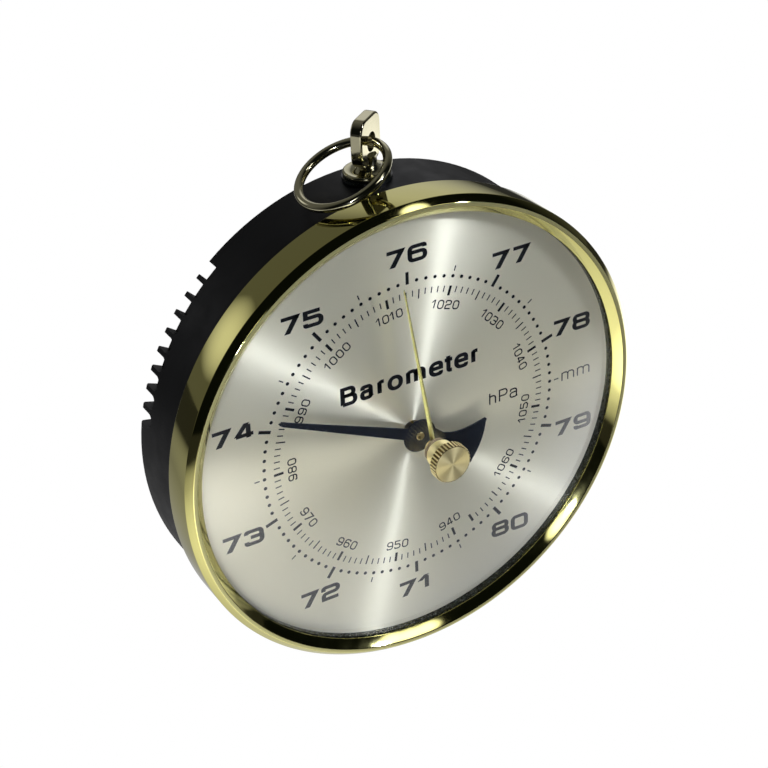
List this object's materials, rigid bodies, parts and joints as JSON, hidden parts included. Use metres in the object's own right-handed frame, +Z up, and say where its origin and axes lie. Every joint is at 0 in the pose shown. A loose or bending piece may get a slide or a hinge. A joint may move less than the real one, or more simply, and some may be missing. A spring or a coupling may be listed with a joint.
{
  "type": "aneroid barometer",
  "caption": "Round wall aneroid barometer with a domed glass, brass bezel, black case, pressure pointer, set hand with outside knob and a hanging ring.",
  "frame": {"origin": "centre of the back face, on the dial's axis", "axes": "+Z up to the top mark of the dial, +Y out of the back face into the wall, +X to the viewer's right"},
  "size_m": [0.13, 0.0456, 0.1445],
  "materials": {
    "case": "satin black moulding",
    "bezel_brass": "polished and lacquered",
    "crystal": "clear polished",
    "spacer": "satin",
    "dial_metal": "spun and lacquered",
    "knob_brass": "turned",
    "pointer_black": "blue black satin",
    "hand_brass": "polished",
    "hanger_nickel": "nickel brass polished",
    "movement_brass": "brushed",
    "movement_steel": "ground",
    "spring_steel": "blued",
    "capsule_alloy": "nickel silver",
    "bridge_casting": "as cast",
    "screw_steel": "turned",
    "fibre": "fibre washer"
  },
  "bodies": {
    "case": {"base_plate": "movement_steel", "base_screws": "screw_steel", "bezel": "bezel_brass", "bridge_screws": "screw_steel", "capsule_lower": "capsule_alloy", "capsule_nut": "screw_steel", "capsule_upper": "capsule_alloy", "clamp_screws": "screw_steel", "dial": "dial_metal", "front_plate": "movement_brass", "glass": "crystal", "hairspring": "spring_steel", "hairspring_stud": "movement_brass", "hanger_washer": "spacer", "inner_washer": "fibre", "lower_pillars": "movement_brass", "outer_washer": "movement_brass", "plate_screws": "screw_steel", "post_screws": "screw_steel", "rear_case": "case", "rear_plate": "movement_brass", "rocker_posts": "movement_brass", "spacer_ring": "spacer", "spring_bridge": "bridge_casting", "spring_clamp": "movement_steel", "upper_pillars": "movement_brass"},
    "sector": {"sector_gear": "movement_brass", "sector_arbor": "movement_steel"},
    "pointer_arbor": {"pinion_arbor": "movement_steel", "pointer": "pointer_black", "pointer_bush": "movement_brass"},
    "rocker": {"rocker_shaft": "movement_steel"},
    "link": {"lever_link": "movement_steel"},
    "spring_lever": {"main_spring": "spring_steel", "main_lever": "movement_brass", "lever_rivets": "movement_brass"},
    "capsule_centre": {"capsule_stud": "movement_brass", "stud_nut": "movement_brass"},
    "set_hand_group": {"set_knob": "knob_brass", "set_spindle": "movement_brass", "set_hand_boss": "movement_brass", "set_hand": "hand_brass"},
    "hanger": {"hanger_eye": "hanger_nickel", "hanger_nut": "screw_steel"},
    "ring": {"hanging_ring": "hanger_nickel"},
    "adjuster": {"adjusting_screw": "screw_steel"}
  },
  "joints": [
    {"name": "sector_turn", "type": "hinge", "parent": "case", "child": "sector", "pos_m": [0, -0.0201, 0.026], "axis": [0, 1, 0], "range_deg": [-18.31, 10.94], "stiffness_Nm_per_rad": 0.05},
    {"name": "pointer_turn", "type": "hinge", "parent": "case", "child": "pointer_arbor", "pos_m": [0, -0.024, 0], "axis": [0, 1, 0], "range_deg": [-131.4, 219.8], "deforming": ["hairspring"]},
    {"name": "rocker_turn", "type": "hinge", "parent": "case", "child": "rocker", "pos_m": [0.0012, -0.011, 0.037], "axis": [0, 0, 1], "range_deg": [-15.8, 9.5]},
    {"name": "link_slide", "type": "slide", "parent": "case", "child": "link", "axis": [0, 1, 0], "range_m": [-0.00075, 0.00125]},
    {"name": "spring_flex", "type": "hinge", "parent": "case", "child": "spring_lever", "pos_m": [0, -0.01505, -0.033], "axis": [1, 0, 0], "range_deg": [-0.99, 0.6]},
    {"name": "capsule_breathe", "type": "slide", "parent": "case", "child": "capsule_centre", "axis": [0, 1, 0], "range_m": [-0.00035, 0.00058], "deforming": ["capsule_upper"]},
    {"name": "set_hand_turn", "type": "hinge", "parent": "case", "child": "set_hand_group", "pos_m": [0, -0.04, 0], "axis": [0, 1, 0], "continuous": true},
    {"name": "hanger_swivel", "type": "hinge", "parent": "case", "child": "hanger", "pos_m": [0, -0.008, 0.0634], "axis": [0, 0, 1], "range_deg": [-90, 6]},
    {"name": "ring_swing", "type": "hinge", "parent": "hanger", "child": "ring", "pos_m": [0, -0.008, 0.0729], "axis": [-0.6018, 0.7986, 0], "range_deg": [0, 220]},
    {"name": "adjuster_turn", "type": "hinge", "parent": "case", "child": "adjuster", "pos_m": [0, -0.004, -0.033], "axis": [0, 1, 0], "range_deg": [-360, 360]}
  ],
  "couplings": [
    {"joint": "pointer_turn", "follows": "sector_turn", "ratio": -12},
    {"joint": "rocker_turn", "follows": "sector_turn", "ratio": 0.86},
    {"joint": "link_slide", "follows": "sector_turn", "m_per_rad": -0.00387},
    {"joint": "spring_flex", "follows": "sector_turn", "ratio": 0.05375},
    {"joint": "capsule_breathe", "follows": "sector_turn", "m_per_rad": -0.001774}
  ]
}
